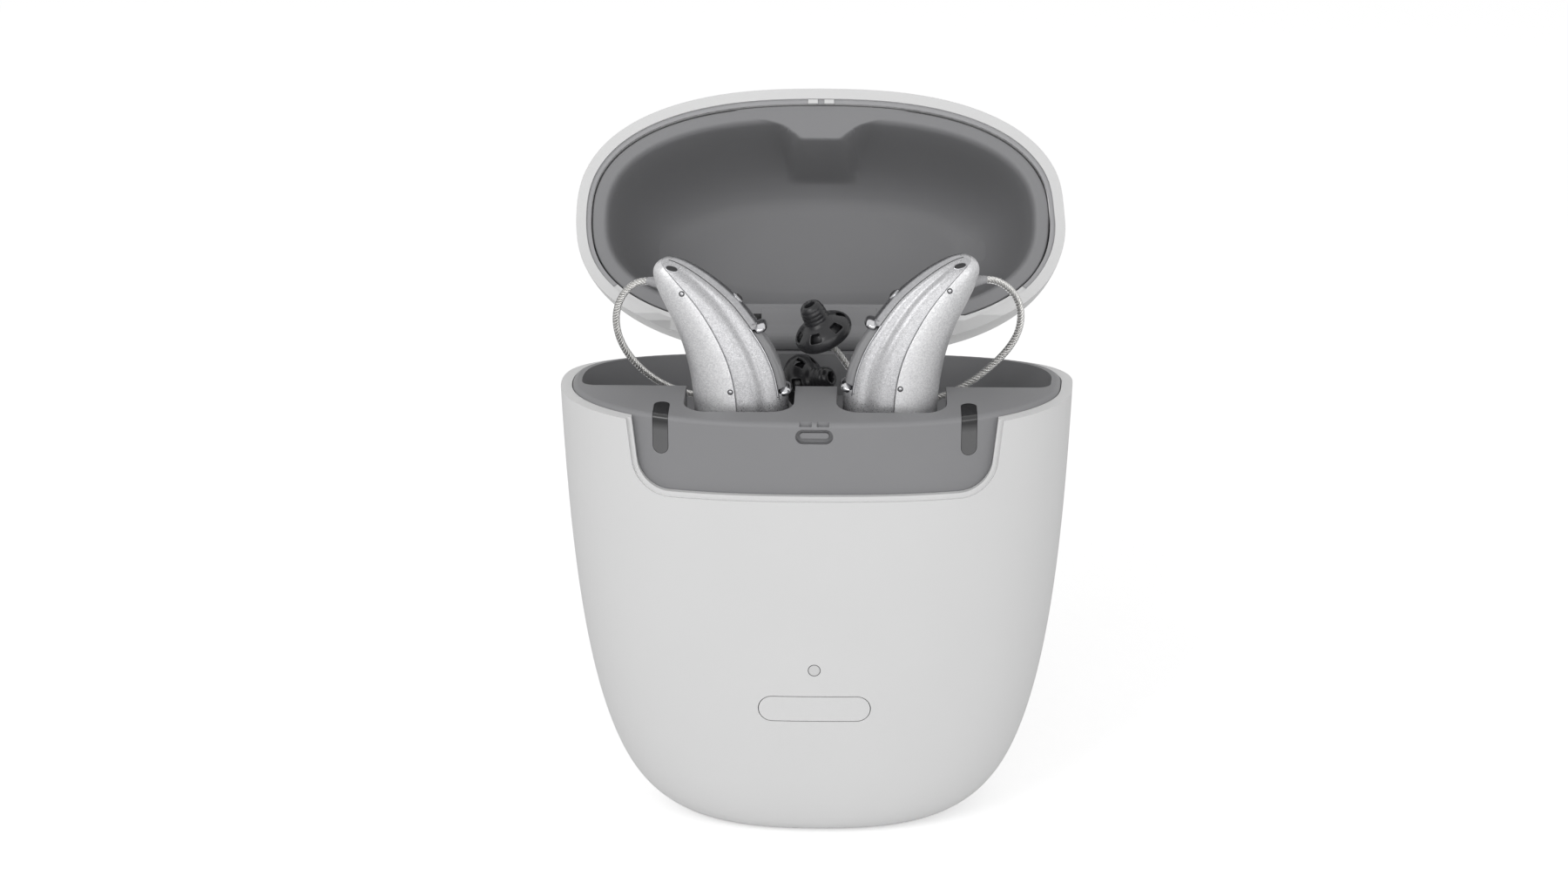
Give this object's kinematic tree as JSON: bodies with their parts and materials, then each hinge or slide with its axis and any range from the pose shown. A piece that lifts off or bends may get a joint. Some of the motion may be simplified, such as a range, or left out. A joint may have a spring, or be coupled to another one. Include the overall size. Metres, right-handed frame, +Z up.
{
  "type": "hearing aid charger",
  "caption": "Upright pocket charging case with a hinged domed lid, shown open, holding a pair of receiver-in-canal hearing aids over a grey charging tray.",
  "frame": {"origin": "centre of the flat foot that the case stands on", "axes": "+Z up, -Y towards the front with the power button, +X to the right of someone facing the front"},
  "size_m": [0.0731, 0.0724, 0.1009],
  "materials": {
    "shell_plastic": "fine satin, light grey",
    "tray_plastic": "satin, mid grey",
    "liner_plastic": "satin, dark grey",
    "smoked_window": "smoked light guide",
    "indicator_lens": "frosted light pipe",
    "foot_rubber": "soft matt",
    "pin_steel": "ground",
    "screw_steel": "plain",
    "circuit_board": "solder mask",
    "chassis_plastic": "moulded",
    "battery_wrap": "aluminium can in shrink film",
    "coil_copper": "enamelled copper wire",
    "ferrite": "sintered",
    "switch_body": "moulded",
    "port_steel": "drawn can",
    "aid_paint": "silver with fine sparkle",
    "aid_dark": "smoked",
    "aid_knob": "polished",
    "wire_tube": "clear tube over a bright wire",
    "dome_silicone": "smoked silicone",
    "receiver_shell": "smooth"
  },
  "bodies": {
    "case": {"outer_shell": "shell_plastic", "foot_pad": "foot_rubber", "charging_tray": "tray_plastic", "left_status_light": "smoked_window", "right_status_light": "smoked_window", "tactile_switch": "switch_body", "charge_indicator": "indicator_lens", "indicator_led": "indicator_lens", "main_board": "circuit_board", "inner_chassis": "chassis_plastic", "battery": "battery_wrap", "left_charging_coil": "coil_copper", "right_charging_coil": "coil_copper", "ferrite_discs": "ferrite", "port_board": "circuit_board", "usb_port": "port_steel", "case_screws": "screw_steel", "board_screws": "screw_steel", "port_screws": "screw_steel", "hinge_pin": "pin_steel"},
    "lid": {"lid_shell": "shell_plastic", "lid_liner": "liner_plastic"},
    "power_button": {"power_button": "shell_plastic"},
    "left_aid": {"left_aid_case": "aid_paint", "left_aid_spine_cover": "aid_paint", "left_aid_microphone_cover": "aid_dark", "left_aid_pins": "aid_paint", "left_receiver_wire": "wire_tube", "left_receiver": "receiver_shell", "left_dome": "dome_silicone"},
    "left_rocker": {"left_aid_rocker": "aid_dark", "left_aid_rocker_knobs": "aid_knob"},
    "right_aid": {"right_aid_case": "aid_paint", "right_aid_spine_cover": "aid_paint", "right_aid_microphone_cover": "aid_dark", "right_aid_pins": "aid_paint", "right_receiver_wire": "wire_tube", "right_receiver": "receiver_shell", "right_dome": "dome_silicone"},
    "right_rocker": {"right_aid_rocker": "aid_dark", "right_aid_rocker_knobs": "aid_knob"}
  },
  "joints": [
    {"name": "lid_hinge", "type": "hinge", "parent": "case", "child": "lid", "pos_m": [0, 0.018, 0.0663], "axis": [-1, 0, 0], "range_deg": [-117, 0]},
    {"name": "power_button_press", "type": "slide", "parent": "case", "child": "power_button", "axis": [0, 1, 0], "range_m": [0, 0.0006], "stiffness_N_per_m": 800},
    {"name": "left_aid_lift", "type": "slide", "parent": "case", "child": "left_aid", "axis": [0, 0, 1], "range_m": [0, 0.03]},
    {"name": "right_aid_lift", "type": "slide", "parent": "case", "child": "right_aid", "axis": [0, 0, 1], "range_m": [0, 0.03]},
    {"name": "left_rocker_press", "type": "hinge", "parent": "left_aid", "child": "left_rocker", "pos_m": [-0.00635, -0.00613, 0.0706], "axis": [0, 1, 0], "range_deg": [-2, 2], "stiffness_Nm_per_rad": 0.02},
    {"name": "right_rocker_press", "type": "hinge", "parent": "right_aid", "child": "right_rocker", "pos_m": [0.00635, -0.00613, 0.0706], "axis": [0, 1, 0], "range_deg": [-2, 2], "stiffness_Nm_per_rad": 0.02}
  ]
}
